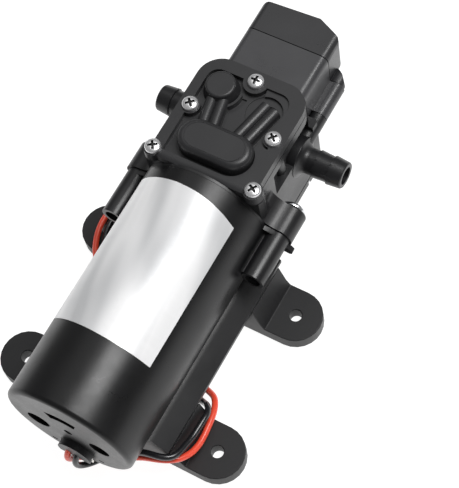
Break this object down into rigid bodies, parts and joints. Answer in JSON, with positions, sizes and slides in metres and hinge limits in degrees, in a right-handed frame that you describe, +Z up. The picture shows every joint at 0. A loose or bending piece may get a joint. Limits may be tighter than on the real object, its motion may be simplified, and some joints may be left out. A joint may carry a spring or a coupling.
{
  "type": "caravan water pump",
  "caption": "Small 12 V diaphragm water pump with a cylindrical motor, two hose barbs, rubber feet, a pressure switch box and a pair of free leads.",
  "frame": {"origin": "centre of the four foot holes, on the plane that the rubber feet stand on", "axes": "+X across the feet and along the outlet hose barb, +Y along the motor from its rear face to the pressure switch box, +Z up out of the mounting surface"},
  "size_m": [0.097, 0.1715, 0.0608],
  "materials": {
    "can_paint": "satin black enamel",
    "sintered_bronze": "sintered, matte",
    "card_laminate": "brown laminate",
    "brass_sheet": "bright",
    "carbon": "matte carbon",
    "spring_steel": "drawn wire",
    "terminal_plastic": "satin",
    "tinned_tab": "tinned",
    "ferrite": "matte ceramic",
    "shaft_steel": "ground",
    "lamination_steel": "stamped",
    "enamelled_wire": "enamelled copper",
    "commutator_copper": "turned copper",
    "washer_plastic": "natural",
    "zinc_steel": "zinc plated",
    "label_foil": "brushed silver film",
    "cradle_plastic": "smooth moulded",
    "foot_rubber": "matte",
    "body_plastic": "fine moulded",
    "screw_zinc": "bright zinc",
    "brass_turned": "turned",
    "black_steel": "black oxide",
    "bearing_steel": "ground",
    "rod_acetal": "natural acetal",
    "steel_disc": "turned",
    "diaphragm_rubber": "matte",
    "valve_plastic": "natural",
    "valve_rubber": "matte silicone",
    "cover_plastic": "fine grained",
    "housing_plastic": "fine grained",
    "cap_plastic": "fine grained",
    "button_red": "moulded",
    "pvc_red": "soft insulation",
    "pvc_black": "soft insulation"
  },
  "bodies": {
    "pump_frame": {"motor_can": "can_paint", "rear_bush": "sintered_bronze", "brush_card": "card_laminate", "brush_tubes": "brass_sheet", "brushes": "carbon", "brush_springs": "spring_steel", "terminal_block": "terminal_plastic", "motor_terminals": "tinned_tab", "magnets": "ferrite", "front_end_plate": "zinc_steel", "front_bush": "sintered_bronze", "rating_label": "label_foil", "base_cradle": "cradle_plastic", "front_foot": "foot_rubber", "rear_foot": "foot_rubber", "motor_bracket": "body_plastic", "housing_screws": "screw_zinc", "pump_body": "body_plastic", "crankcase_cover": "body_plastic", "crankcase_screws": "screw_zinc", "diaphragm": "diaphragm_rubber", "valve_plate": "valve_plastic", "valve_pins": "steel_disc", "cover_gasket": "diaphragm_rubber", "cover_plate": "cover_plastic", "cover_screws": "screw_zinc", "switch_housing": "housing_plastic", "switch_screws": "screw_zinc", "switch_diaphragm": "diaphragm_rubber", "switch_spring": "spring_steel", "adjusting_screw": "brass_turned", "microswitch": "terminal_plastic", "microswitch_terminals": "tinned_tab", "switch_cap": "cap_plastic", "switch_grommet": "diaphragm_rubber", "red_lead": "pvc_red", "black_lead": "pvc_black"},
    "rotor": {"motor_shaft": "shaft_steel", "armature_core": "lamination_steel", "armature_windings": "enamelled_wire", "commutator": "commutator_copper", "thrust_washers": "washer_plastic", "eccentric": "brass_turned", "eccentric_screw": "black_steel", "eccentric_bearing": "bearing_steel"},
    "rod": {"connecting_rod": "rod_acetal", "clamp_disc": "steel_disc", "diaphragm_screw": "screw_zinc"},
    "inlet_flap": {"inlet_valve": "valve_rubber"},
    "outlet_flap": {"outlet_valve": "valve_rubber"},
    "plunger": {"switch_plunger": "rod_acetal"},
    "switch_button": {"microswitch_button": "button_red"}
  },
  "joints": [
    {"name": "shaft_spin", "type": "hinge", "parent": "pump_frame", "child": "rotor", "pos_m": [0, 0, 0.0347], "axis": [0, 1, 0], "continuous": true},
    {"name": "rod_slide", "type": "slide", "parent": "pump_frame", "child": "rod", "axis": [0, 0, 1], "range_m": [-0.0012, 0.0012], "stiffness_N_per_m": 2000, "deforming": ["diaphragm"]},
    {"name": "inlet_valve_lift", "type": "slide", "parent": "pump_frame", "child": "inlet_flap", "axis": [0, 0, -1], "range_m": [0, 0.0005], "stiffness_N_per_m": 30},
    {"name": "outlet_valve_lift", "type": "slide", "parent": "pump_frame", "child": "outlet_flap", "axis": [0, 0, 1], "range_m": [0, 0.0007], "stiffness_N_per_m": 30},
    {"name": "plunger_slide", "type": "slide", "parent": "pump_frame", "child": "plunger", "axis": [0, 1, 0], "range_m": [0, 0.0008], "stiffness_N_per_m": 2000, "deforming": ["switch_spring"]},
    {"name": "switch_button_slide", "type": "slide", "parent": "pump_frame", "child": "switch_button", "axis": [0, 1, 0], "range_m": [0, 0.0008]}
  ],
  "couplings": [
    {"joint": "switch_button_slide", "follows": "plunger_slide", "ratio": 1}
  ]
}
